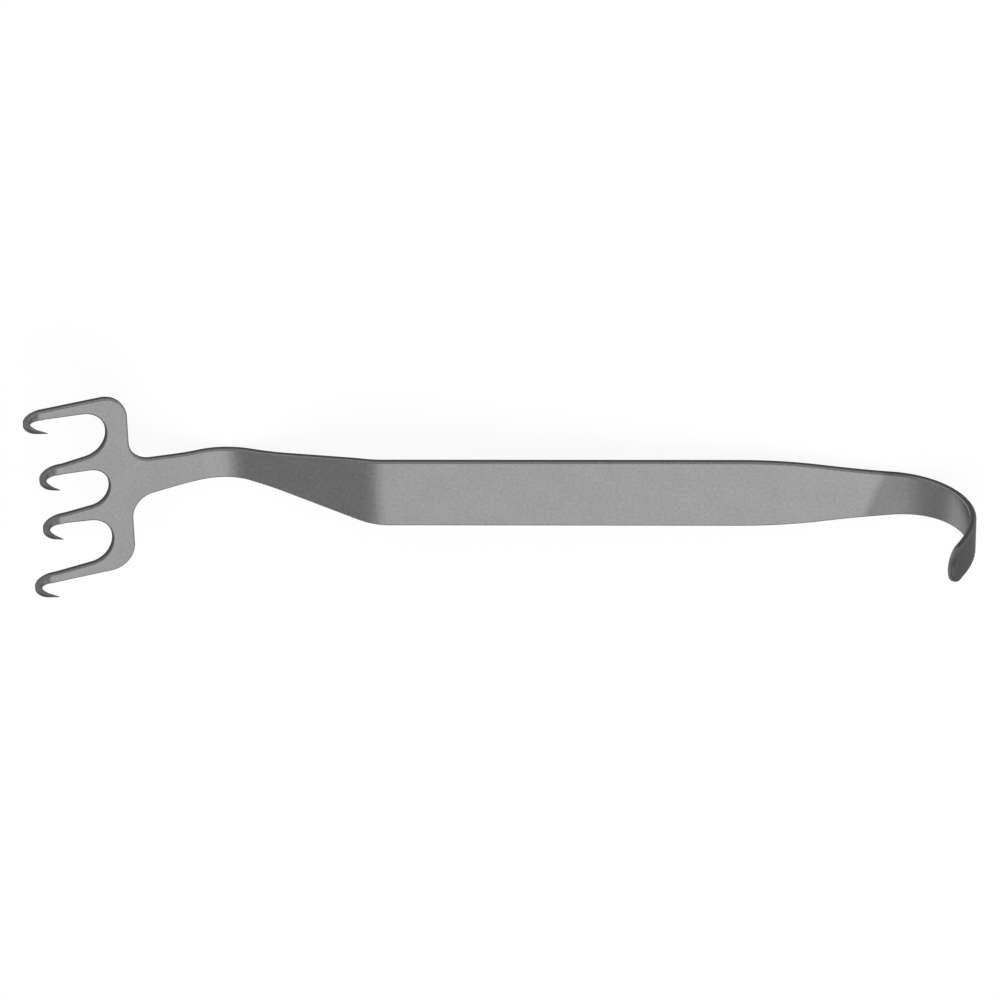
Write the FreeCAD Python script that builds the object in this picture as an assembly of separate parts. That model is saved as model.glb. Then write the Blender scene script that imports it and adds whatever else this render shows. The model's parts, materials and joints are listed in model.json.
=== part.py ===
import FreeCAD, Part
import math
import os

# Four-prong facelift retractor, blanked from one strip of stainless sheet, bent and ground.
# Lengths are millimetres, turns are degrees, and bend radii are those of the sheet's middle.
#
# From left to right: a flat rake of four prongs with sharp hooks, a narrow neck, a sloping
# offset that widens to the handle, a plain flat handle, and a tapering finger hook.
# It lies on its back with every hook upwards: +X runs from the rake to the finger hook,
# Y runs across the strip, +Z is up, and the origin is on the table under the middle.

# The sheet
SHEET = 1.5
EDGE_CHAMFER = 0.35

# The straight handle, from the end of its bend to the start of the finger curl
HANDLE_WIDTH = 14.85
HANDLE_LENGTH = 102.3
HANDLE_BEND = 12.7

# The offset, from the corner of the handle bend to the corner of the neck bend
OFFSET_LENGTH = 34.2
OFFSET_SLOPE = 24.1
NECK_BEND = 12.7
NECK_WIDTH = 6.65

# The two tapers, measured along the strip from the start of the straight handle.
# A taper starts where it leaves the handle's width, and each of its corners has its own ease:
# the length on either side over which the width changes smoothly.
NECK_TAPER_START = 3.5
NECK_TAPER_LENGTH = 26.4
NECK_TAPER_START_EASE = 4.0
NECK_TAPER_END_EASE = 7.4
FINGER_TAPER_START = 79.9
FINGER_TAPER_LENGTH = 26.8
FINGER_TAPER_START_EASE = 8.2
FINGER_TAPER_END_EASE = 18.4

# The finger hook: a tight curl, a wider one, and a straight end with a full round
FINGER_WIDTH = 7.6
CURL_RADIUS = 15.4
CURL_TURN = 92.0
TIP_RADIUS = 24.7
TIP_TURN = 22.6
TIP_LENGTH = 6.5

# The head, flat and sloping up from the neck bend; reaches are measured from its corner
HEAD_SLOPE = 24.3
FLARE_REACH = 8.4
FLARE_ROUND = 60.0
BACK_REACH = 20.8
ROOT_WIDTH = 8.75
ROOT_FILLET = 4.9
RAKE_WIDTH = 40.1
SHOULDER_ROUND = 5.2
BAR_WIDTH = 4.6
MIDDLE_SLOT_RADIUS = 4.25
SIDE_SLOT_RADIUS = 5.05

# The prongs, where each one meets its hook
PRONG_WIDTH = 2.1
INNER_PRONG_SPACING = 11.4
INNER_PRONG_REACH = 36.1
OUTER_PRONG_REACH = 39.0
PRONG_LAND = 1.2
LAND_ROUND = 10.0

# The hooks: a bend, then a straight end ground to a point
INNER_HOOK_RADIUS = 4.25
INNER_HOOK_TURN = 133.5
INNER_POINT = 1.6
OUTER_HOOK_RADIUS = 3.8
OUTER_HOOK_TURN = 142.0
OUTER_POINT = 2.1
HOOK_CROWN = 1.4
HOOK_SHANK = 1.05
POINT_TIP = 0.12

# Where the hooks have their crown and their shank, as shares of the bend
CROWN_AT = 0.5
SHANK_AT = 0.85

# How finely bends and eased widths are followed
TURN_STEP = 24.0
EASE_STEPS = 3
SHORTEST_PIECE = 0.05
SAME_LENGTH = 0.001

Vector = FreeCAD.Vector
ACROSS = Vector(0, 1, 0)


def corner_reach(radius, turn):
    """Length that a bend takes from each of the two runs that meet at its corner."""
    return radius * math.tan(math.radians(turn) / 2)


def arc_length(radius, turn):
    return radius * math.radians(turn)


def onward(length):
    """Step straight ahead: a place's X runs along the strip, and its Z is the front's normal."""
    return FreeCAD.Placement(Vector(length, 0, 0), FreeCAD.Rotation())


def bent(radius, turn):
    """Step round a bend, towards the front face where the turn is positive."""
    signed = math.copysign(radius, turn)
    angle = math.radians(turn)
    shift = Vector(signed * math.sin(angle), 0, signed * (1 - math.cos(angle)))
    return FreeCAD.Placement(shift, FreeCAD.Rotation(ACROSS, -turn))


def fitting_eases(length, eases):
    """A taper's two eases, shortened alike where they would overlap."""
    share = min(1, length / sum(eases))
    return [ease * share for ease in eases]


def eased(along, start, length, eases, before, after):
    """A width that changes evenly over a length, with a parabola easing each corner."""
    first, last = fitting_eases(length, eases)
    slope = (after - before) / length
    end = start + length
    if along <= start - first:
        return before
    if along < start + first:
        return before + slope * (along - start + first) ** 2 / (4 * first)
    if along <= end - last:
        return before + slope * (along - start)
    if along < end + last:
        return after - slope * (end + last - along) ** 2 / (4 * last)
    return after


def neck_taper():
    """Where the neck's taper starts, how long it is, and its two eases."""
    return NECK_TAPER_START, NECK_TAPER_LENGTH, (NECK_TAPER_START_EASE, NECK_TAPER_END_EASE)


def finger_taper():
    """The same for the finger hook's taper."""
    return FINGER_TAPER_START, FINGER_TAPER_LENGTH, (FINGER_TAPER_START_EASE, FINGER_TAPER_END_EASE)


def strip_width(along):
    """Width of the strip, at a distance along it from the start of the straight handle."""
    if along < FINGER_TAPER_START / 2:
        return eased(-along, *neck_taper(), HANDLE_WIDTH, NECK_WIDTH)
    return eased(along, *finger_taper(), HANDLE_WIDTH, FINGER_WIDTH)


def width_changes():
    """Distances along the strip at which its width goes from one law to the next."""
    changes = []
    for side, (start, length, eases) in ((-1, neck_taper()), (1, finger_taper())):
        for corner, ease in zip((start, start + length), fitting_eases(length, eases)):
            changes.append(side * (corner - ease))
            changes.append(side * (corner + ease))
    return changes


def edge_cut(width, height):
    """The chamfer along the edges, no larger than the one that makes a thin section octagonal."""
    return min(EDGE_CHAMFER, (1 - math.sqrt(0.5)) * min(width, height))


def section(place, width, height):
    """Outline of the steel cut square across: a rectangle with its four corners taken off."""
    y = width / 2
    z = height / 2
    cut = edge_cut(width, height)
    quarter = ((y - cut, z), (y, z - cut))
    corners = [Vector(0, a, b) for a, b in quarter]
    corners += [Vector(0, a, -b) for a, b in reversed(quarter)]
    corners += [Vector(0, -a, -b) for a, b in quarter]
    corners += [Vector(0, -a, b) for a, b in reversed(quarter)]
    wire = Part.makePolygon(corners + corners[:1])
    wire.Placement = place
    return wire


class Run:
    """One straight or bent stretch of the strip, starting at a place on its middle line."""

    def __init__(self, start, along, length, radius=0, turn=0):
        self.start = start
        self.along = along
        self.length = length
        self.radius = radius
        self.turn = turn

    def place(self, distance):
        if not self.turn:
            return self.start.multiply(onward(distance))
        return self.start.multiply(bent(self.radius, self.turn * distance / self.length))

    def piece(self, first, last):
        """The solid between two distances along this run."""
        widths = [strip_width(self.along + first), strip_width(self.along + last)]
        middle = strip_width(self.along + (first + last) / 2)
        even = abs(middle - sum(widths) / 2) < SAME_LENGTH
        if even and abs(widths[0] - widths[1]) < SAME_LENGTH:
            return self.plain_piece(first, last, widths[0])
        steps = max(1 if even else EASE_STEPS,
                    math.ceil(abs(self.turn) * (last - first) / self.length / TURN_STEP))
        wires = []
        for index in range(steps + 1):
            distance = first + (last - first) * index / steps
            wires.append(section(self.place(distance), strip_width(self.along + distance), SHEET))
        return Part.makeLoft(wires, True, steps == 1)

    def plain_piece(self, first, last, width):
        """The solid where the width stays the same: pushed straight, or turned about the bend."""
        start = self.place(first)
        face = Part.Face(section(start, width, SHEET))
        if not self.turn:
            return face.extrude(start.Rotation.multVec(Vector(last - first, 0, 0)))
        centre = start.multVec(Vector(0, 0, math.copysign(self.radius, self.turn)))
        return face.revolve(centre, ACROSS, -self.turn * (last - first) / self.length)


def strip_runs():
    """The strip's runs by name, from the head's end of the neck bend to the finger hook's end."""
    neck_turn = OFFSET_SLOPE + HEAD_SLOPE
    offset = OFFSET_LENGTH - corner_reach(HANDLE_BEND, OFFSET_SLOPE) - corner_reach(NECK_BEND, neck_turn)
    neck_arc = arc_length(NECK_BEND, neck_turn)
    handle_arc = arc_length(HANDLE_BEND, OFFSET_SLOPE)
    laid = (
        ("neck_bend", neck_arc, NECK_BEND, neck_turn),
        ("offset", offset, 0, 0),
        ("handle_bend", handle_arc, HANDLE_BEND, -OFFSET_SLOPE),
        ("handle", HANDLE_LENGTH, 0, 0),
        ("curl", arc_length(CURL_RADIUS, CURL_TURN), CURL_RADIUS, CURL_TURN),
        ("tip", arc_length(TIP_RADIUS, TIP_TURN), TIP_RADIUS, TIP_TURN),
    )
    place = FreeCAD.Placement(Vector(0, 0, 0), FreeCAD.Rotation(ACROSS, HEAD_SLOPE))
    along = -(neck_arc + offset + handle_arc)
    runs = {}
    for name, length, radius, turn in laid:
        run = Run(place, along, length, radius, turn)
        runs[name] = run
        place = run.place(length)
        along += length
    return runs


def strip_pieces(runs):
    """Solids of every run, divided wherever the width's law changes."""
    pieces = []
    for run in runs.values():
        cuts = [0.0]
        for change in sorted(width_changes()):
            distance = change - run.along
            if cuts[-1] + SHORTEST_PIECE < distance < run.length - SHORTEST_PIECE:
                cuts.append(distance)
        cuts.append(run.length)
        for first, last in zip(cuts, cuts[1:]):
            pieces.append(run.piece(first, last))
    return pieces


def rounded_line(points):
    """Edges through points (x, y, radius), with an arc at each inner point that has a radius.

    An arc takes no more than half of a side that it shares with another corner.
    """
    corners = [Vector(x, y, 0) for x, y, radius in points]
    edges = []
    leave = corners[0]
    for index in range(1, len(points) - 1):
        here = corners[index]
        back = corners[index - 1] - here
        ahead = corners[index + 1] - here
        half = back.getAngle(ahead) / 2
        room_back = back.Length / min(index, 2)
        room_ahead = ahead.Length / min(len(points) - 1 - index, 2)
        reach = min(points[index][2] / math.tan(half), room_back, room_ahead)
        if reach < SAME_LENGTH:
            edges.append(Part.makeLine(leave, here))
            leave = here
            continue
        back.normalize()
        ahead.normalize()
        to_arc = reach / math.cos(half) * (1 - math.sin(half))
        enter = here + back * reach
        middle = here + (back + ahead).normalize() * to_arc
        after = here + ahead * reach
        if (enter - leave).Length > SAME_LENGTH:
            edges.append(Part.makeLine(leave, enter))
        edges.append(Part.Arc(enter, middle, after).toShape())
        leave = after
    edges.append(Part.makeLine(leave, corners[-1]))
    return edges


def touch_point(centre, radius, point, side):
    """Where the line from a point just touches a circle, on one side or the other."""
    away = point - centre
    angle = math.atan2(away.y, away.x) + side * math.acos(radius / away.Length)
    return centre + Vector(math.cos(angle), math.sin(angle), 0) * radius


def flat_solid(edges, is_end):
    """A piece of the sheet with this outline, its long edges chamfered up to the ends."""
    face = Part.Face(Part.Wire(Part.__sortEdges__(edges)))
    solid = face.extrude(Vector(0, 0, SHEET))
    solid.translate(Vector(0, 0, -SHEET / 2))
    long_edges = []
    for edge in solid.Edges:
        first, last = edge.firstVertex().Point, edge.lastVertex().Point
        if abs(first.z - last.z) < SAME_LENGTH and not is_end(first, last):
            long_edges.append(edge)
    return solid.makeChamfer(edge_cut(PRONG_WIDTH, SHEET), long_edges)


def rake_outline(neck_start, outer, inner):
    """Half of the head's outline, from the neck along one outer prong to the middle slot.

    X is the reach from the neck bend's corner, and Y is the distance from the middle line.
    """
    edge = PRONG_WIDTH / 2
    side_slot = Vector(BACK_REACH + BAR_WIDTH + SIDE_SLOT_RADIUS, (outer + inner) / 2, 0)
    middle_slot = Vector(BACK_REACH + BAR_WIDTH + MIDDLE_SLOT_RADIUS, 0, 0)
    outer_land = Vector(OUTER_PRONG_REACH - PRONG_LAND, outer - edge, 0)
    inner_land = Vector(INNER_PRONG_REACH - PRONG_LAND, inner + edge, 0)
    middle_land = Vector(INNER_PRONG_REACH - PRONG_LAND, inner - edge, 0)
    upper = touch_point(side_slot, SIDE_SLOT_RADIUS, outer_land, 1)
    lower = touch_point(side_slot, SIDE_SLOT_RADIUS, inner_land, -1)
    centre = touch_point(middle_slot, MIDDLE_SLOT_RADIUS, middle_land, 1)

    edges = rounded_line([
        (neck_start, NECK_WIDTH / 2, 0),
        (FLARE_REACH, NECK_WIDTH / 2, FLARE_ROUND),
        (BACK_REACH, ROOT_WIDTH / 2, ROOT_FILLET),
        (BACK_REACH, RAKE_WIDTH / 2, SHOULDER_ROUND),
        (OUTER_PRONG_REACH, RAKE_WIDTH / 2, 0),
        (OUTER_PRONG_REACH, outer - edge, 0),
        (outer_land.x, outer_land.y, LAND_ROUND),
        (upper.x, upper.y, 0),
    ])
    slot_end = side_slot - Vector(SIDE_SLOT_RADIUS, 0, 0)
    edges.append(Part.Arc(upper, slot_end, lower).toShape())
    edges += rounded_line([
        (lower.x, lower.y, 0),
        (inner_land.x, inner_land.y, LAND_ROUND),
        (INNER_PRONG_REACH, inner + edge, 0),
        (INNER_PRONG_REACH, inner - edge, 0),
        (middle_land.x, middle_land.y, LAND_ROUND),
        (centre.x, centre.y, 0),
    ])
    angle = math.atan2(centre.y, centre.x - middle_slot.x)
    halfway = (angle + math.pi) / 2
    between = middle_slot + Vector(math.cos(halfway), math.sin(halfway), 0) * MIDDLE_SLOT_RADIUS
    slot_end = middle_slot - Vector(MIDDLE_SLOT_RADIUS, 0, 0)
    edges.append(Part.Arc(centre, between, slot_end).toShape())
    return edges


def rake_plate(neck_start, outer, inner):
    """The flat head: the neck's flare, the cross bar and four prongs, without their hooks."""
    half = rake_outline(neck_start, outer, inner)
    other = [edge.mirror(Vector(0, 0, 0), ACROSS) for edge in half]
    neck_edge = Vector(neck_start, NECK_WIDTH / 2, 0)
    across_neck = Part.makeLine(neck_edge, Vector(neck_edge.x, -neck_edge.y, 0))
    ends = (neck_start, INNER_PRONG_REACH, OUTER_PRONG_REACH)

    def is_end(first, last):
        at_end = min(abs(first.x - end) for end in ends) < SAME_LENGTH
        return at_end and abs(first.x - last.x) < SAME_LENGTH

    return flat_solid(half + other + [across_neck], is_end)


def ground_size(along, bend_length, point, full):
    """A hook's width or thickness: ground down evenly from one mark along it to the next."""
    marks = (
        (0.0, full),
        (CROWN_AT * bend_length, HOOK_CROWN),
        (SHANK_AT * bend_length, HOOK_SHANK),
        (bend_length + point, POINT_TIP),
    )
    for (low, size), (high, next_size) in zip(marks, marks[1:]):
        if along <= high:
            return size + (next_size - size) * (along - low) / (high - low)
    return POINT_TIP


def hook(start, radius, turn, point):
    """One sharp hook, from its prong's end round the bend to the ground point."""
    bend_length = arc_length(radius, turn)
    steps = math.ceil(turn / TURN_STEP)
    places = [(bend_length * index / steps, bent(radius, turn * index / steps))
              for index in range(steps + 1)]
    round_the_bend = places[-1][1]
    for ahead in (point / 2, point):
        places.append((bend_length + ahead, round_the_bend.multiply(onward(ahead))))
    wires = []
    for along, place in places:
        width = ground_size(along, bend_length, point, PRONG_WIDTH)
        thickness = ground_size(along, bend_length, point, SHEET)
        wires.append(section(start.multiply(place), width, thickness))
    return Part.makeLoft(wires, True, False)


def finger_end():
    """The finger hook's straight end, finished with a full round."""
    half = FINGER_WIDTH / 2
    straight = TIP_LENGTH - half
    edges = [
        Part.makeLine(Vector(0, -half, 0), Vector(straight, -half, 0)),
        Part.Arc(Vector(straight, -half, 0), Vector(straight + half, 0, 0),
                 Vector(straight, half, 0)).toShape(),
        Part.makeLine(Vector(straight, half, 0), Vector(0, half, 0)),
        Part.makeLine(Vector(0, half, 0), Vector(0, -half, 0)),
    ]

    def is_end(first, last):
        return abs(first.x) < SAME_LENGTH and abs(last.x) < SAME_LENGTH

    return flat_solid(edges, is_end)


def head_pieces():
    """The plate and its hooks, placed before the neck bend."""
    neck_start = corner_reach(NECK_BEND, OFFSET_SLOPE + HEAD_SLOPE)
    outer = (RAKE_WIDTH - PRONG_WIDTH) / 2
    inner = INNER_PRONG_SPACING / 2
    slope = FreeCAD.Rotation(ACROSS, HEAD_SLOPE)
    corner = FreeCAD.Placement(slope.multVec(Vector(neck_start, 0, 0)), slope)
    turned = FreeCAD.Placement(Vector(0, 0, 0), FreeCAD.Rotation(Vector(0, 0, 1), 180))
    forward = corner.multiply(turned)
    plate = rake_plate(neck_start, outer, inner)
    plate.Placement = forward.multiply(plate.Placement)
    pieces = [plate]
    for reach, middle, radius, turn, point in (
        (OUTER_PRONG_REACH, outer, OUTER_HOOK_RADIUS, OUTER_HOOK_TURN, OUTER_POINT),
        (INNER_PRONG_REACH, inner, INNER_HOOK_RADIUS, INNER_HOOK_TURN, INNER_POINT),
    ):
        for side in (-1, 1):
            end = FreeCAD.Placement(Vector(reach, side * middle, 0), FreeCAD.Rotation())
            pieces.append(hook(forward.multiply(end), radius, turn, point))
    return pieces


def resting_place(runs, shape):
    """Lay the part on its back: the neck bend and the start of the curl touch the table."""
    neck = runs["neck_bend"]
    curl = runs["curl"]
    neck_centre = neck.start.multVec(Vector(0, 0, neck.radius))
    curl_centre = curl.start.multVec(Vector(0, 0, curl.radius))
    apart = curl_centre - neck_centre
    rise = math.asin((neck.radius - curl.radius) / apart.Length)
    slope = math.degrees(math.atan2(apart.z, apart.x) + rise)
    level = FreeCAD.Placement(Vector(0, 0, 0), FreeCAD.Rotation(ACROSS, slope))
    table = level.multVec(neck_centre).z - neck.radius - SHEET / 2
    shape.Placement = level
    box = shape.optimalBoundingBox(False, False)
    shape.translate(Vector(-box.Center.x, 0, -table))
    return shape


def retractor():
    """The whole instrument as the one piece of steel that it is."""
    runs = strip_runs()
    end = finger_end()
    tip = runs["tip"]
    end.Placement = tip.place(tip.length).multiply(end.Placement)
    pieces = head_pieces() + strip_pieces(runs) + [end]
    whole = pieces[0].multiFuse(pieces[1:]).removeSplitter()
    return resting_place(runs, whole)


def main():
    os.makedirs("parts", exist_ok=True)
    shape = retractor()
    box = shape.optimalBoundingBox(False, False)
    size = [round(length, 2) for length in (box.XLength, box.YLength, box.ZLength)]
    print("solids", len(shape.Solids), "valid", shape.isValid(), "volume", round(shape.Volume, 1))
    print("length, width and height", size)
    shape.Solids[0].exportStep("parts/retractor.step")


main()
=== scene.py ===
# %% [markdown]
# # A four-prong facelift retractor in satin steel
#
# The real instrument is one strip of stainless sheet, 1.5 mm thick. It is blanked flat, its edges are
# rounded, its four prongs are curled into sharp hooks, and then the strip is bent: once at the neck,
# once at the handle, and round in a long hook for a finger.
#
# This lesson makes it in the same order. A flat outline is drawn with one pen, the sheet gets its
# thickness and its round edges, the hooks are drawn out of the prong ends, and a curve bends it all.
# Bending a finished blank keeps the rounded edge even along every bend, which is hard to get when
# each bend is modelled by itself.

# %% Load the fixed frame and measure it
import json
import math

import bmesh
import bpy
from mathutils import Matrix, Vector
from mathutils.bvhtree import BVHTree


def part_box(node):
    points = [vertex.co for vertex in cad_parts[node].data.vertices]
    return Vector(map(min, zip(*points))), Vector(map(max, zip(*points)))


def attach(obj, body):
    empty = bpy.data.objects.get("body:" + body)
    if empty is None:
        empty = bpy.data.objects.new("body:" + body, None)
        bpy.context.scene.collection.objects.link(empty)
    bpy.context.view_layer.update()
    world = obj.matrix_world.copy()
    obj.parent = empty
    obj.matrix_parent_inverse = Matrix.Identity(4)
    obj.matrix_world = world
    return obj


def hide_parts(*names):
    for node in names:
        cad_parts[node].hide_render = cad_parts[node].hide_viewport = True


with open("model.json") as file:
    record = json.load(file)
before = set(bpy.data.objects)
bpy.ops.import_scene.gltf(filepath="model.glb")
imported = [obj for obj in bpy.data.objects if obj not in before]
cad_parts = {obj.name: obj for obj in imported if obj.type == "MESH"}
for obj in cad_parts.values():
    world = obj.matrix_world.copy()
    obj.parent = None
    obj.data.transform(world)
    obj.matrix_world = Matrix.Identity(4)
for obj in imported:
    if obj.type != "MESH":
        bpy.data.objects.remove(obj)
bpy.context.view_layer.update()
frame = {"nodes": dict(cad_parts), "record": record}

MM = 0.001
cad_low, cad_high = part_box("retractor")
print("solid in mm", [round(size / MM, 2) for size in cad_high - cad_low])

# %% [markdown]
# ## Small helpers
#
# An operator works on whatever is selected, and the imported solid starts out selected. So every step
# begins with nothing selected, and then picks vertices, edges or faces by their place.

# %% Helpers for selecting
SAME_PLACE = 0.002 * MM


def deselect_all():
    """Leave edit mode and leave no object selected."""
    if bpy.context.object and bpy.context.object.mode == "EDIT":
        bpy.ops.object.mode_set(mode="OBJECT")
    bpy.ops.object.select_all(action="DESELECT")


def edit(piece):
    """Make this the only selected object, and open it in edit mode with nothing selected."""
    deselect_all()
    piece.select_set(True)
    bpy.context.view_layer.objects.active = piece
    bpy.ops.object.mode_set(mode="EDIT")
    bpy.ops.mesh.select_all(action="DESELECT")


def select(piece, kind, wanted):
    """Select the vertices, edges or faces for which wanted() is true, and count them."""
    mesh = bmesh.from_edit_mesh(piece.data)
    bpy.ops.mesh.select_mode(type={"verts": "VERT", "edges": "EDGE", "faces": "FACE"}[kind])
    bpy.ops.mesh.select_all(action="DESELECT")
    chosen = [part for part in getattr(mesh, kind) if wanted(part)]
    for part in chosen:
        part.select_set(True)
    mesh.select_flush_mode()
    bmesh.update_edit_mesh(piece.data)
    return len(chosen)


# %% [markdown]
# ## A pen that draws with one vertex
#
# A plane is added and merged into a single vertex. Extruding the vertex draws a straight line, and
# spinning it about a centre draws a true arc. The pen only needs to remember where it is. It draws
# the flat outline, where it turns about Z, and later the side view of the bends, where it turns
# about Y.

# %% The pen
ARC_STEP = 6.0  # degrees
LONGEST_CHORD = 1.5 * MM


class Pen:
    """One vertex that draws a chain of edges, straight or round."""

    def __init__(self, name, start, axis, arc_step=ARC_STEP):
        deselect_all()
        bpy.ops.mesh.primitive_plane_add(size=MM, location=start)
        self.drawing = bpy.context.object
        self.drawing.name = name
        bpy.ops.object.transform_apply(location=True)
        bpy.ops.object.mode_set(mode="EDIT")
        bpy.ops.mesh.select_mode(type="VERT")
        bpy.ops.mesh.select_all(action="SELECT")
        bpy.ops.mesh.merge(type="CENTER")
        self.at = Vector(start)
        self.axis = Vector(axis)
        self.arc_step = arc_step

    def line(self, *ends):
        """Draw straight to a point, or from point to point."""
        for end in ends:
            move = Vector(end) - self.at
            if move.length > SAME_PLACE:
                bpy.ops.mesh.extrude_region_move(TRANSFORM_OT_translate={"value": move})
                self.at = Vector(end)

    def arc(self, centre, turn):
        """Draw round a centre. A positive turn goes clockwise as seen along the axis from its tip."""
        length = (self.at - Vector(centre)).length * math.radians(abs(turn))
        steps = max(2, math.ceil(abs(turn) / self.arc_step), math.ceil(length / LONGEST_CHORD))
        bpy.ops.mesh.spin(steps=steps, angle=math.radians(turn), center=centre, axis=self.axis)
        arm = self.at - Vector(centre)
        self.at = Vector(centre) + Matrix.Rotation(-math.radians(turn), 3, self.axis) @ arm

    def corners(self, points):
        """Draw through points (x, y, radius), rounding each one but the last by its radius."""
        for (x, y, radius), (next_x, next_y, _) in zip(points, points[1:]):
            here = Vector((x, y, 0))
            back = (self.at - here).normalized()
            ahead = (Vector((next_x, next_y, 0)) - here).normalized()
            half = back.angle(ahead) / 2
            reach = radius / math.tan(half)
            self.line(here + back * reach)
            centre = here + (back + ahead).normalized() * (radius / math.sin(half))
            side = -1 if back.cross(ahead).z < 0 else 1
            self.arc(centre, side * (180 - 2 * math.degrees(half)))
        self.line(points[-1][:2] + (0,))


# %% [markdown]
# ## The driving sizes
#
# These are the real sizes of the blank and of its bends, lengths in metres, slopes and turns in
# degrees. Places along the blank are distances from the outer end of the head's straight stretch, so
# that the bending curve can read them directly. The neck, the offset and the handle follow in that
# order, and the finger hook is last. It has two radii, a tighter curl and an easier tip.

# %% Sizes of the sheet, the handle and the finger hook
SHEET = 1.5 * MM
EDGE_ROUND = 0.45 * MM
HANDLE_WIDTH = 14.85 * MM
HANDLE_LENGTH = 102.3 * MM
HANDLE_BEND = 12.7 * MM
OFFSET_LENGTH = 34.2 * MM
OFFSET_SLOPE = 24.1
NECK_BEND = 12.7 * MM
NECK_WIDTH = 6.65 * MM
HEAD_SLOPE = 24.3
CURL_RADIUS = 15.4 * MM
CURL_TURN = 92.0
TIP_RADIUS = 24.7 * MM
TIP_TURN = 22.6
TIP_LENGTH = 6.5 * MM
FINGER_WIDTH = 7.6 * MM

# The tapers' ends, measured from the start of the straight handle, and the rounds that ease them
NECK_TAPER = (-29.9 * MM, -3.5 * MM)
NECK_TAPER_ROUNDS = (96 * MM, 52 * MM)
FINGER_TAPER = (79.9 * MM, 106.7 * MM)
FINGER_TAPER_ROUNDS = (122 * MM, 273 * MM)

# %% Sizes of the head, as reaches from the corner of the neck bend
HEAD_REACH = 46 * MM
FLARE_REACH = 8.4 * MM
FLARE_ROUND = 60 * MM
BACK_REACH = 20.8 * MM
ROOT_WIDTH = 8.75 * MM
ROOT_FILLET = 4.9 * MM
RAKE_WIDTH = 40.1 * MM
SHOULDER_ROUND = 5.2 * MM
BAR_WIDTH = 4.6 * MM
MIDDLE_SLOT_RADIUS = 4.25 * MM
SIDE_SLOT_RADIUS = 5.05 * MM
INNER_REACH = 36.1 * MM
OUTER_REACH = 39 * MM

# The prongs' middle lines, and the last stretch of a prong, over which its two edges are parallel
PRONG_WIDTH = 2.1 * MM
INNER_PRONG = 5.7 * MM
OUTER_PRONG = (RAKE_WIDTH - PRONG_WIDTH) / 2
PRONG_LAND = 1.2 * MM


# %% Places along the blank
def corner_reach(radius, turn):
    """Length that a bend takes from each of the two runs that meet at its corner."""
    return radius * math.tan(math.radians(turn) / 2)


def arc_length(radius, turn):
    """Length of the sheet's middle line round a bend."""
    return radius * math.radians(turn)


NECK_TURN = HEAD_SLOPE + OFFSET_SLOPE
neck_start = HEAD_REACH - corner_reach(NECK_BEND, NECK_TURN)
neck_end = neck_start + arc_length(NECK_BEND, NECK_TURN)
offset_run = OFFSET_LENGTH - corner_reach(NECK_BEND, NECK_TURN) - corner_reach(HANDLE_BEND, OFFSET_SLOPE)
handle_bend_start = neck_end + offset_run
handle_bend_end = handle_bend_start + arc_length(HANDLE_BEND, OFFSET_SLOPE)
curl_start = handle_bend_end + HANDLE_LENGTH
curl_end = curl_start + arc_length(CURL_RADIUS, CURL_TURN)
tip_start = curl_end + arc_length(TIP_RADIUS, TIP_TURN)
tip_end = tip_start + TIP_LENGTH
print("blank from", round((HEAD_REACH - OUTER_REACH) / MM, 2), "to", round(tip_end / MM, 2), "mm")

# %% [markdown]
# ## The flat blank
#
# The blank is the same on both sides of its middle line, so the pen draws one half, from the finger
# end to the middle of the rake. A slot between two prongs is the part of a circle that the two
# prongs' straight edges just touch, so the touch points are worked out and the pen spins round the
# slot's centre from one to the other.

# %% Draw the long edge, from the finger end to the outer prong
def from_neck(reach):
    """Distance along the blank of a place on the head."""
    return HEAD_REACH - reach


half_finger = FINGER_WIDTH / 2
half_handle = HANDLE_WIDTH / 2
half_neck = NECK_WIDTH / 2

pen = Pen("retractor_blank", (tip_end, 0, 0), (0, 0, 1))
pen.arc((tip_end - half_finger, 0, 0), -90)
pen.corners([
    (handle_bend_end + FINGER_TAPER[1], half_finger, FINGER_TAPER_ROUNDS[1]),
    (handle_bend_end + FINGER_TAPER[0], half_handle, FINGER_TAPER_ROUNDS[0]),
    (handle_bend_end + NECK_TAPER[1], half_handle, NECK_TAPER_ROUNDS[1]),
    (handle_bend_end + NECK_TAPER[0], half_neck, NECK_TAPER_ROUNDS[0]),
    (from_neck(FLARE_REACH), half_neck, FLARE_ROUND),
    (from_neck(BACK_REACH), ROOT_WIDTH / 2, ROOT_FILLET),
    (from_neck(BACK_REACH), RAKE_WIDTH / 2, SHOULDER_ROUND),
    (from_neck(OUTER_REACH), RAKE_WIDTH / 2, 0),
])
print("pen is at the outer prong", [round(value / MM, 2) for value in pen.at])


# %% Draw the prongs and the slots between them
def on_head(reach, y):
    """A point on the head, by its reach from the corner of the neck bend."""
    return Vector((from_neck(reach), y, 0))


def touch_point(centre, radius, point, side):
    """Where the line from a point just touches a circle, on one side or the other."""
    away = point - centre
    angle = math.atan2(away.y, away.x) + side * math.acos(radius / away.length)
    return centre + Vector((math.cos(angle), math.sin(angle), 0)) * radius


def round_slot(centre, enter, leave):
    """Draw a slot's closed end, from the prong edge before it to the one after it."""
    start = (enter - centre).to_2d()
    turn = start.angle_signed((leave - centre).to_2d())
    pen.arc(centre, math.degrees(turn) % 360)


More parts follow.
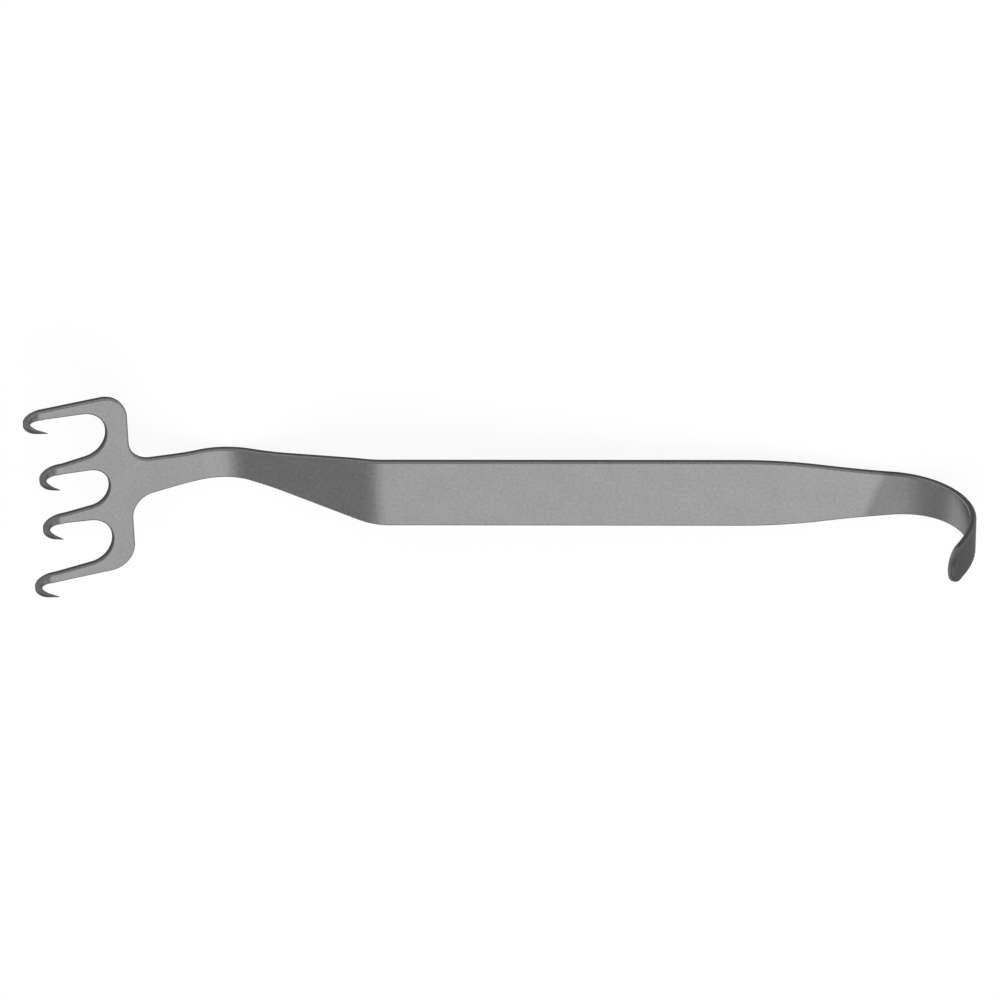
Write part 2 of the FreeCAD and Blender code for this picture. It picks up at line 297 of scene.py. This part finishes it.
half_prong = PRONG_WIDTH / 2
side_slot = on_head(BACK_REACH + BAR_WIDTH + SIDE_SLOT_RADIUS, (OUTER_PRONG + INNER_PRONG) / 2)
middle_slot = on_head(BACK_REACH + BAR_WIDTH + MIDDLE_SLOT_RADIUS, 0)
outer_land = on_head(OUTER_REACH - PRONG_LAND, OUTER_PRONG - half_prong)
inner_land = on_head(INNER_REACH - PRONG_LAND, INNER_PRONG + half_prong)
middle_land = on_head(INNER_REACH - PRONG_LAND, INNER_PRONG - half_prong)
side_enter = touch_point(side_slot, SIDE_SLOT_RADIUS, outer_land, -1)
side_leave = touch_point(side_slot, SIDE_SLOT_RADIUS, inner_land, 1)
middle_enter = touch_point(middle_slot, MIDDLE_SLOT_RADIUS, middle_land, -1)

pen.line(on_head(OUTER_REACH, OUTER_PRONG - half_prong), outer_land, side_enter)
round_slot(side_slot, side_enter, side_leave)
pen.line(inner_land, on_head(INNER_REACH, INNER_PRONG + half_prong))
pen.line(on_head(INNER_REACH, INNER_PRONG - half_prong), middle_land, middle_enter)
round_slot(middle_slot, middle_enter, middle_slot + Vector((MIDDLE_SLOT_RADIUS, 0, 0)))
print("pen is at the middle slot", [round(value / MM, 2) for value in pen.at])

# %% Mirror the half, close it and fill it
blank = pen.drawing
bpy.ops.mesh.select_all(action="SELECT")
bpy.ops.mesh.duplicate()
bpy.ops.transform.resize(value=(1, -1, 1), center_override=(0, 0, 0))
bpy.ops.mesh.select_all(action="SELECT")
bpy.ops.mesh.remove_doubles(threshold=SAME_PLACE)
bpy.ops.mesh.select_all(action="SELECT")
bpy.ops.mesh.edge_face_add()
mesh = bmesh.from_edit_mesh(blank.data)
outline_area = sum(face.calc_area() for face in mesh.faces)
print("outline", len(mesh.verts), "vertices, area", round(outline_area / MM**2, 1), "mm2")

# %% [markdown]
# ## Thickness and rounded edges
#
# The face is extruded by the sheet's thickness. All the long edges are then bevelled together, front
# and back, which rounds the rim of the whole instrument in one go. The edges across the prong ends
# stay sharp for now, because the hooks grow out of those ends.

# %% Give the sheet its thickness and round its rim
HALF_SHEET = SHEET / 2
PRONG_ENDS = (from_neck(OUTER_REACH), from_neck(INNER_REACH))
ROUND_SEGMENTS = 6

bpy.ops.mesh.extrude_region_move(TRANSFORM_OT_translate={"value": (0, 0, SHEET)})
bpy.ops.mesh.select_all(action="SELECT")
bpy.ops.transform.translate(value=(0, 0, -HALF_SHEET))
bpy.ops.mesh.normals_make_consistent(inside=False)


def on_prong_end(edge):
    """True for an edge that runs across the end of a prong."""
    first, last = (corner.co for corner in edge.verts)
    return abs(first.x - last.x) < SAME_PLACE and min(abs(first.x - end) for end in PRONG_ENDS) < SAME_PLACE


def on_rim(edge):
    """True for an edge that runs along the rim of the front or the back face."""
    first, last = (corner.co for corner in edge.verts)
    return abs(first.z - last.z) < SAME_PLACE and not on_prong_end(edge)


rim_edges = select(blank, "edges", on_rim)
bpy.ops.mesh.bevel(
    offset=EDGE_ROUND, segments=ROUND_SEGMENTS, affect="EDGES", clamp_overlap=False, loop_slide=False
)
print("rounded", rim_edges, "rim edges by", EDGE_ROUND / MM, "mm")

# %% [markdown]
# ## Marks for the material
#
# The narrow walls of the sheet and the outside of the finger hook are darker than the faces: that is
# painted shade, for the dim surroundings that they mirror. A slanted band of painted shade crosses the
# strip where it enters the finger hook. A material can't find such places by itself, so two values are
# stored for each vertex now, while the blank is flat and every place on it is a plain distance. What
# is drawn out of a marked face later takes the marks with it.

# %% Mark the walls of the sheet and the distance along it
# Painted shade: the walls, the hooks and the outside of the finger hook are darkened in colour for the dim
# surroundings that they mirror, and these values say where and how much
WALL_SHADE_FROM = 0.1  # share of the rounded edge that is still as bright as the face
BACK_SHADE_SHARE = 0.78  # how much like a wall the outside of the finger hook is
BACK_SHADE_FADE = 7 * MM  # the stretch over which that sets in, up to the end of the curl


def share_between(value, low, high):
    """0 up to the low mark, 1 from the high mark on, and even between them."""
    return min(1, max(0, (value - low) / (high - low)))


def wall_shade_share(place):
    """How much painted shade and extra roughness a place gets: 0 on the faces and the first part of the
    rounded edge, up to 1 on the flat wall.

    The round end of the finger hook gets none, and the outside of the hook nearly as much as the walls.
    """
    share = share_between(HALF_SHEET - abs(place.z), WALL_SHADE_FROM * EDGE_ROUND, EDGE_ROUND)
    share *= 1 - share_between(place.x, tip_end - half_finger, tip_end)
    if place.z < 0:
        share = max(share, BACK_SHADE_SHARE * share_between(place.x, curl_end - BACK_SHADE_FADE, curl_end))
    return share


def store(piece, name, value_at):
    """Store a value for each vertex, worked out from its place on the flat blank."""
    deselect_all()
    marks = piece.data.attributes.new(name, "FLOAT", "POINT")
    for vertex, mark in zip(piece.data.vertices, marks.data):
        mark.value = value_at(vertex.co)


store(blank, "wall", wall_shade_share)
store(blank, "past_curl", lambda place: place.x - curl_start)
print("marked", len(blank.data.vertices), "vertices")

# %% [markdown]
# ## Sharp hooks
#
# Each hook is its prong's end face drawn round a bend. The face is extruded in place, turned a little
# about the bend's centre, and resized, again and again, so the prong goes from flat to round and then
# down to a point. Spin could turn the bend in one call, but it keeps one size all the way, and these
# hooks are ground finer step by step. Each ring's wall mark moves towards a value between those of the
# faces and the walls, so the hooks are a little rougher than the faces and darker by painted shade,
# though less so than the walls. The last ring is merged into the point.

# %% Sizes of the hooks
INNER_HOOK_RADIUS = 4.25 * MM
INNER_HOOK_TURN = 133.5
INNER_POINT = 1.6 * MM
OUTER_HOOK_RADIUS = 3.8 * MM
OUTER_HOOK_TURN = 142.0
OUTER_POINT = 2.1 * MM

# Sizes across a hook, and where along its bend the first two are
HOOK_CROWN = 1.4 * MM
HOOK_SHANK = 1.05 * MM
POINT_TIP = 0.12 * MM
CROWN_AT = 0.5
SHANK_AT = 0.85


def ground_size(along, curl, point, full):
    """Width or thickness of a hook, ground down evenly from one mark along it to the next."""
    marks = [(0.0, full), (CROWN_AT * curl, HOOK_CROWN), (SHANK_AT * curl, HOOK_SHANK)]
    marks.append((curl + point, POINT_TIP))
    for (low, size), (high, next_size) in zip(marks, marks[1:]):
        if along <= high:
            return size + (next_size - size) * (along - low) / (high - low)
    return POINT_TIP


# %% One ring of a hook
ROUND_EACH_STEP = 0.12
# Painted shade on the hooks: each ring's wall mark moves by this share towards the hooks' value below
HOOK_SHADE_STEP = 0.15
HOOK_SHADE_SHARE = 0.62
FACES_OUTWARD = -0.99  # a prong's end face looks this way along X, or more so


def select_prong_end(piece, end, middle_y):
    """Select the face that closes a prong."""
    def closes_prong(face):
        middle = face.calc_center_median()
        in_place = abs(middle.x - end) < SAME_PLACE and abs(middle.y - middle_y) < SAME_PLACE
        return in_place and face.normal.x < FACES_OUTWARD

    select(piece, "faces", closes_prong)


def ring_size(piece, middle, across):
    """Full width (along Y) and thickness (along a direction) of the selected ring."""
    ring = [vertex.co - middle for vertex in bmesh.from_edit_mesh(piece.data).verts if vertex.select]
    width = 2 * max(abs(arm.y) for arm in ring)
    thickness = 2 * max(abs(arm.dot(across)) for arm in ring)
    return width, thickness


def shade_ring(piece):
    """Bring the selected ring's wall value nearer to the hooks' share of painted shade and roughness, all
    the way round.
    """
    mesh = bmesh.from_edit_mesh(piece.data)
    wall = mesh.verts.layers.float["wall"]
    for vertex in mesh.verts:
        if vertex.select:
            vertex[wall] += (HOOK_SHADE_SHARE - vertex[wall]) * HOOK_SHADE_STEP


# %% Draw a hook ring by ring
HOOK_STEP = 7.0  # degrees
POINT_STEPS = 5


def draw_hook(piece, reach, middle_y, radius, turn, point):
    """Draw one prong's end out into a sharp hook that curls up and back, and return its tip."""
    end = from_neck(reach)
    centre = Vector((end, middle_y, radius))
    curl = arc_length(radius, turn)
    turns = math.ceil(turn / HOOK_STEP)
    one_turn = math.radians(turn / turns)
    select_prong_end(piece, end, middle_y)
    for step in range(1, turns + POINT_STEPS + 1):
        angle = turn * min(step, turns) / turns
        ahead = point * max(step - turns, 0) / POINT_STEPS
        forward = Matrix.Rotation(math.radians(angle), 3, "Y") @ Vector((-1, 0, 0))
        inward = Matrix.Rotation(math.radians(angle), 3, "Y") @ Vector((0, 0, 1))
        bpy.ops.mesh.extrude_region_move()
        if step <= turns:
            bpy.ops.transform.rotate(value=-one_turn, orient_axis="Y", center_override=centre)
        else:
            bpy.ops.transform.translate(value=forward * point / POINT_STEPS)
        middle = centre - inward * radius + forward * ahead
        bpy.ops.transform.tosphere(value=ROUND_EACH_STEP)
        along = min(step, turns) / turns * curl + ahead
        width, thickness = ring_size(piece, middle, inward)
        wide = ground_size(along, curl, point, PRONG_WIDTH) / width
        thick = ground_size(along, curl, point, SHEET) / thickness
        bpy.ops.transform.resize(value=(thick, wide, thick), center_override=middle)
        shade_ring(piece)
    bpy.ops.mesh.merge(type="CENTER")
    return middle


edit(blank)
for side in (1, -1):
    outer_tip = draw_hook(
        blank, OUTER_REACH, side * OUTER_PRONG, OUTER_HOOK_RADIUS, OUTER_HOOK_TURN, OUTER_POINT
    )
    inner_tip = draw_hook(
        blank, INNER_REACH, side * INNER_PRONG, INNER_HOOK_RADIUS, INNER_HOOK_TURN, INNER_POINT
    )
    print("tips at", [round(value / MM, 2) for value in (*outer_tip, *inner_tip)])

# %% [markdown]
# ## Slices for the bends, and a map of the flat blank
#
# A bend needs vertices to bend at. Bisect cuts the whole blank straight across at even steps inside
# each bend, and adds nothing to the flat stretches between them. The surface map is made now as well,
# while the blank is still flat: the satin grain then follows the strip round its bends.

# %% Cut the slices
BEND_STEP = 4.0  # degrees


def slices(start, radius, turn):
    """Even places along a bend, both of its ends included."""
    steps = math.ceil(turn / BEND_STEP)
    return [start + arc_length(radius, turn) * step / steps for step in range(steps + 1)]


cuts = slices(neck_start, NECK_BEND, NECK_TURN) + slices(handle_bend_start, HANDLE_BEND, OFFSET_SLOPE)
cuts += slices(curl_start, CURL_RADIUS, CURL_TURN) + slices(curl_end, TIP_RADIUS, TIP_TURN)[1:]
for place in cuts:
    bpy.ops.mesh.select_all(action="SELECT")
    bpy.ops.mesh.bisect(plane_co=(place, 0, 0), plane_no=(1, 0, 0))
print("cut", len(cuts), "slices")

# %% Map the flat blank
MAP_UNIT = 10 * MM

bpy.ops.mesh.select_all(action="SELECT")
bpy.ops.uv.cube_project(cube_size=MAP_UNIT)
deselect_all()
print("one unit of the map is", MAP_UNIT / MM, "mm")

# %% [markdown]
# ## Bending the strip
#
# The same pen draws the side view of the strip's middle line as straight runs and arcs. Turned into a
# curve, it carries the blank through a Curve modifier, which puts each slice where the curve is at
# that distance. That is what a press does to the real blank.

# %% Draw the side view and turn it into a curve
PATH_STEP = 1.0  # degrees


def run_on(pen, direction, length):
    """Draw a straight run."""
    pen.line(pen.at + direction * length)


def bend(pen, direction, radius, turn):
    """Draw a bend towards the front face, or away from it where the turn is negative."""
    normal = Vector((-direction.z, 0, direction.x))
    centre = pen.at + normal * math.copysign(radius, turn)
    pen.arc(centre, turn)
    return Matrix.Rotation(-math.radians(turn), 3, "Y") @ direction


side_pen = Pen("side_view", (0, 0, 0), (0, 1, 0), arc_step=PATH_STEP)
heading = Vector((1, 0, 0))
run_on(side_pen, heading, neck_start)
heading = bend(side_pen, heading, NECK_BEND, NECK_TURN)
run_on(side_pen, heading, offset_run)
heading = bend(side_pen, heading, HANDLE_BEND, -OFFSET_SLOPE)
handle_heading = heading.copy()
run_on(side_pen, heading, HANDLE_LENGTH)
heading = bend(side_pen, heading, CURL_RADIUS, CURL_TURN)
heading = bend(side_pen, heading, TIP_RADIUS, TIP_TURN)
run_on(side_pen, heading, TIP_LENGTH)
deselect_all()
side_view = side_pen.drawing
side_view.select_set(True)
bpy.context.view_layer.objects.active = side_view
bpy.ops.object.convert(target="CURVE")
side_view = bpy.context.object
print("side view", len(side_view.data.splines[0].points), "points")


# %% Bend the blank along it
def apply_modifier(piece, kind, **settings):
    """Add a modifier, set it and apply it."""
    deselect_all()
    piece.select_set(True)
    bpy.context.view_layer.objects.active = piece
    bpy.ops.object.modifier_add(type=kind)
    modifier = piece.modifiers[-1]
    for name, value in settings.items():
        setattr(modifier, name, value)
    bpy.ops.object.modifier_apply(modifier=modifier.name)


apply_modifier(blank, "CURVE", object=side_view, deform_axis="POS_X")
bpy.data.objects.remove(side_view)
print("bent strip in mm", [round(size / MM, 2) for size in blank.dimensions])

# %% [markdown]
# ## Laying it down
#
# The frame says how steeply the handle lies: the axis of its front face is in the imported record. The
# bent strip is tilted until its handle has that slope, and then moved until it touches the table and
# is centred as the solid is. After that, every vertex is measured against the solid.

# %% Tilt it and set it on the table
mounts = {mount["name"]: mount for mount in frame["record"]["mounts"]}
front = Vector(mounts["handle_front"]["axis"])
slope_now = math.atan2(handle_heading.z, handle_heading.x)
slope_wanted = -math.atan2(front.x, front.z)

edit(blank)
bpy.ops.mesh.select_all(action="SELECT")
bpy.ops.transform.rotate(value=slope_wanted - slope_now, orient_axis="Y", center_override=(0, 0, 0))
places = [vertex.co for vertex in bmesh.from_edit_mesh(blank.data).verts]
low_x, high_x = min(place.x for place in places), max(place.x for place in places)
low_z = min(place.z for place in places)
shift = Vector(((cad_low.x + cad_high.x - low_x - high_x) / 2, 0, cad_low.z - low_z))
bpy.ops.transform.translate(value=shift)
deselect_all()
print("handle slopes by", round(math.degrees(slope_wanted), 2), "degrees")

# %% Measure it against the solid
solid_surface = BVHTree.FromObject(frame["nodes"]["retractor"], bpy.context.evaluated_depsgraph_get())
gaps = [solid_surface.find_nearest(vertex.co)[3] / MM for vertex in blank.data.vertices]
print("from the solid: mean", round(sum(gaps) / len(gaps), 3), "mm, most", round(max(gaps), 3), "mm")

# %% [markdown]
# ## Shading, name and place in the frame
#
# Smooth shading alone would bend the light on the broad flat faces towards their rounded edges.
# Normals weighted by face area keep the faces flat and leave the turn to the narrow edge. Then the
# piece is named and hung on the root body, and the imported solid is hidden.

# %% Smooth its shading and name it
retractor = blank
retractor.name = "satin_retractor"
retractor.select_set(True)
bpy.context.view_layer.objects.active = retractor
bpy.ops.object.shade_smooth()
apply_modifier(retractor, "WEIGHTED_NORMAL", mode="FACE_AREA")
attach(retractor, "root")
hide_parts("retractor")
print("retractor has", len(retractor.data.polygons), "faces")

# %% [markdown]
# ## Satin steel
#
# Satin stainless is a metal under a very fine matt texture: its lights are broad and soft, and its tone
# wavers a little from spot to spot. Noise on the flat map does that, so the grain runs round the
# bends with the strip. The marks on the mesh say where painted shade goes. The narrow walls of the
# sheet, the ground hooks and the outside of the finger hook are rougher, and darker by painted shade
# for the dim surroundings that they mirror. Where the strip enters the finger hook, a band of painted
# shade starts at a slanted edge and fades out round the curl.

# %% Material values
STEEL_COLOUR = 0.33
# The next colour is the walls' painted shade, for the dim surroundings that they mirror
WALL_SHADE_COLOUR = 0.085
GRAZING_TINT = 0.4
FACE_ROUGHNESS = 0.38
WALL_ROUGHNESS = 0.45
ROUGHNESS_SWING = 0.03
BUMP_STRENGTH = 0.6
BUMP_DISTANCE = 0.01 * MM

# The noise of the grain and of the broad clouds in it, and the tones between which they waver
NOISE_DETAIL = 3
NOISE_ROUGHNESS = 0.6
NOISE_RANGE = (0.3, 0.7)
GRAIN_SCALE = 15
GRAIN_TONES = (0.87, 1.13)
CLOUD_SCALE = 1.5
CLOUD_TONES = (0.965, 1.035)

# The band of painted shade: its tone, and where it sets in and fades out, past the start of the finger hook
SHADE_BAND_TONE = 0.69
SHADE_BAND_START = (-4.9 * MM, -2.5 * MM)
SHADE_BAND_END = (1 * MM, 7 * MM)
SHADE_BAND_SLANT = 0.38


# %% Helpers for shader nodes
def node(tree, kind, **settings):
    """Add a shader node and set its properties and its inputs by name."""
    new = tree.nodes.new(kind)
    for name, value in settings.items():
        if name in new.inputs:
            new.inputs[name].default_value = value
        else:
            setattr(new, name, value)
    return new


def mottle(tree, place, scale):
    """Even noise on the flat map."""
    noise = node(tree, "ShaderNodeTexNoise", Scale=scale, Detail=NOISE_DETAIL, Roughness=NOISE_ROUGHNESS)
    tree.links.new(place, noise.inputs["Vector"])
    return noise.outputs["Fac"]


def remap(tree, value, results, marks=NOISE_RANGE, **settings):
    """Bring a value from one range to another. Without marks, the value is a noise."""
    mapper = node(tree, "ShaderNodeMapRange", **settings)
    for name, number in zip(("From Min", "From Max", "To Min", "To Max"), (*marks, *results)):
        mapper.inputs[name].default_value = number
    tree.links.new(value, mapper.inputs["Value"])
    return mapper.outputs["Result"]


def maths(tree, operation, first, second):
    """One math node on two values, each a socket or a number."""
    result = node(tree, "ShaderNodeMath", operation=operation)
    for socket, value in zip(result.inputs, (first, second)):
        if isinstance(value, (int, float)):
            socket.default_value = value
        else:
            tree.links.new(value, socket)
    return result.outputs[0]


# %% The tone of the satin steel
steel = bpy.data.materials.new("satin_steel")
steel.use_nodes = True
tree = steel.node_tree
shader = tree.nodes["Principled BSDF"]
flat_map = node(tree, "ShaderNodeUVMap", uv_map=retractor.data.uv_layers.active.name).outputs["UV"]
wall = node(tree, "ShaderNodeAttribute", attribute_name="wall").outputs["Fac"]
past_curl = node(tree, "ShaderNodeAttribute", attribute_name="past_curl").outputs["Fac"]
sideways = node(tree, "ShaderNodeSeparateXYZ")
tree.links.new(node(tree, "ShaderNodeTexCoord").outputs["Object"], sideways.inputs["Vector"])
grain = mottle(tree, flat_map, GRAIN_SCALE)
clouds = mottle(tree, flat_map, CLOUD_SCALE)

tone = maths(tree, "MULTIPLY", remap(tree, grain, GRAIN_TONES), remap(tree, clouds, CLOUD_TONES))
# A band of painted shade crosses the strip where it enters the finger hook: it starts at a slanted edge and
# fades out round the curl
slanted = maths(tree, "SUBTRACT", past_curl, maths(tree, "MULTIPLY", sideways.outputs["Y"], SHADE_BAND_SLANT))
shade_band_in = remap(tree, slanted, (0, 1 - SHADE_BAND_TONE), SHADE_BAND_START, interpolation_type="SMOOTHSTEP")
shade_band_out = remap(tree, past_curl, (1, 0), SHADE_BAND_END, interpolation_type="SMOOTHSTEP")
shade_band = maths(tree, "MULTIPLY", shade_band_in, shade_band_out)
tone = maths(tree, "MULTIPLY", tone, maths(tree, "SUBTRACT", 1, shade_band))
# The wall mark darkens the walls, the hooks and the outside of the finger hook with painted shade
grey = maths(tree, "MULTIPLY", tone, remap(tree, wall, (STEEL_COLOUR, WALL_SHADE_COLOUR), (0, 1)))
colour = node(tree, "ShaderNodeCombineColor")
for channel in ("Red", "Green", "Blue"):
    tree.links.new(grey, colour.inputs[channel])
tree.links.new(colour.outputs["Color"], shader.inputs["Base Color"])
print("the tone takes", len(tree.nodes), "nodes")

# %% Its gloss and its fine relief
rough = remap(tree, grain, (FACE_ROUGHNESS - ROUGHNESS_SWING, FACE_ROUGHNESS + ROUGHNESS_SWING))
extra = maths(tree, "MULTIPLY", wall, WALL_ROUGHNESS - FACE_ROUGHNESS)
tree.links.new(maths(tree, "ADD", rough, extra), shader.inputs["Roughness"])
shader.inputs["Metallic"].default_value = 1.0
shader.inputs["Specular Tint"].default_value = (GRAZING_TINT, GRAZING_TINT, GRAZING_TINT, 1)
bump = node(tree, "ShaderNodeBump", Strength=BUMP_STRENGTH, Distance=BUMP_DISTANCE)
tree.links.new(grain, bump.inputs["Height"])
tree.links.new(bump.outputs["Normal"], shader.inputs["Normal"])
retractor.data.materials.clear()
retractor.data.materials.append(steel)
print("satin steel has", len(tree.nodes), "nodes")

# %% [markdown]
# ## Table and light
#
# Metal shows what is around it, so the light is planned from the tones of the faces. A wide soft box
# hangs over the far side and towards the finger hook: the head and the handle mirror it and are light.
# The offset leans the other way and mirrors the dim room, so it is dark. A dimmer box stands low on
# the near side, for views from the far side.
#
# The table is plain and white. A matt white one would throw much light up at the steel, so this one
# scatters little, and glows only for rays from the camera, from a mirror or through glass.

# %% The table
TABLE_SIZE = 3.0
TABLE_COLOUR = 0.2
TABLE_LIFT = 0.88

deselect_all()
bpy.ops.mesh.primitive_plane_add(size=TABLE_SIZE, location=(0, 0, 0))
table = bpy.context.object
table.name = "table"
paint = bpy.data.materials.new("white_table")
paint.use_nodes = True
tree = paint.node_tree
tree.nodes.clear()
matt = node(tree, "ShaderNodeBsdfDiffuse", Color=(TABLE_COLOUR, TABLE_COLOUR, TABLE_COLOUR, 1))
glow = node(tree, "ShaderNodeEmission", Color=(1, 1, 1, 1))
ray = node(tree, "ShaderNodeLightPath")
seen = maths(tree, "MAXIMUM", ray.outputs["Is Camera Ray"], ray.outputs["Is Glossy Ray"])
seen = maths(tree, "MAXIMUM", seen, ray.outputs["Is Transmission Ray"])
tree.links.new(maths(tree, "MULTIPLY", seen, TABLE_LIFT), glow.inputs["Strength"])
both = node(tree, "ShaderNodeAddShader")
tree.links.new(matt.outputs[0], both.inputs[0])
tree.links.new(glow.outputs[0], both.inputs[1])
surface = node(tree, "ShaderNodeOutputMaterial")
tree.links.new(both.outputs[0], surface.inputs["Surface"])
table.data.materials.append(paint)
print("table is", TABLE_SIZE, "m wide")

# %% The room and the soft boxes
ROOM_LIGHT = 0.405

world = bpy.data.worlds.new("dim_room")
bpy.context.scene.world = world
world.use_nodes = True
world.node_tree.nodes["Background"].inputs["Color"].default_value = (1, 1, 1, 1)
world.node_tree.nodes["Background"].inputs["Strength"].default_value = ROOM_LIGHT


def soft_box(name, direction, distance, width, height, radiance):
    """A rectangular lamp that faces the instrument, as bright to look at as radiance says.

    Its width runs level with the strip, in the XZ plane.
    """
    direction = Vector(direction).normalized()
    side = Vector((direction.z, 0, -direction.x)).normalized()
    bpy.ops.object.light_add(type="AREA")
    box = bpy.context.object
    box.name = name
    box.data.shape = "RECTANGLE"
    box.data.size = width
    box.data.size_y = height
    box.data.energy = radiance * math.pi * width * height
    facing = Matrix((side, direction.cross(side), direction)).transposed()
    box.matrix_world = Matrix.Translation(direction * distance) @ facing.to_4x4()
    return box


far_box = soft_box(
    "far_soft_box", direction=(0.335, -0.44, 0.833), distance=1.1, width=1.44, height=1.12, radiance=0.845
)
near_box = soft_box(
    "near_soft_box", direction=(0, 0.9, 0.436), distance=1.0, width=2.2, height=0.42, radiance=0.6
)
print("lamps", [lamp.name for lamp in (far_box, near_box)])

# %% [markdown]
# ## The camera
#
# The photo looks down steeply from the near side with a long lens, and the instrument's far edge is
# at the bottom of the picture. The camera looks at a point on the table, from an angle and a distance
# that were fitted to the outline.

# %% The camera's values
# Degrees: tilt from straight down, swing along the strip, and roll of the picture
VIEW_TILT = 29.611
VIEW_SWING = -8.141
VIEW_ROLL = -1.318

# Metres, and the scale of the picture at the point that the camera looks at
VIEW_DISTANCE = 1.04513
VIEW_TARGET = (-2.313 * MM, -6.228 * MM, 0)
FARTHEST_SEEN = 10
PIXELS_PER_METRE = 4884.5
PICTURE_PIXELS = 1000

# The sensor's width in millimetres, as Blender's cameras take it
SENSOR = 36.0

# %% Set up the camera
tilt, swing, roll = (math.radians(angle) for angle in (VIEW_TILT, VIEW_SWING, VIEW_ROLL))
swung = Matrix.Rotation(-swing, 3, "Y")
toward = Vector((0, math.sin(tilt), math.cos(tilt)))
right = Vector((1, 0, 0))
up = Vector((0, math.cos(tilt), -math.sin(tilt)))
rolled_right = right * math.cos(roll) + up * math.sin(roll)
rolled_up = up * math.cos(roll) - right * math.sin(roll)
turned = Matrix((swung @ rolled_right, swung @ rolled_up, swung @ toward)).transposed()
stand = swung @ (Vector(VIEW_TARGET) + toward * VIEW_DISTANCE)

bpy.ops.object.camera_add()
camera = bpy.context.object
camera.name = "photo_view"
camera.matrix_world = Matrix.Translation(stand) @ turned.to_4x4()
camera.data.sensor_width = SENSOR
camera.data.lens = SENSOR * PIXELS_PER_METRE * VIEW_DISTANCE / PICTURE_PIXELS
camera.data.clip_end = FARTHEST_SEEN
bpy.context.scene.camera = camera
bpy.context.scene.view_settings.view_transform = "Standard"
print("camera at", [round(value, 3) for value in camera.location], "lens", round(camera.data.lens, 1))
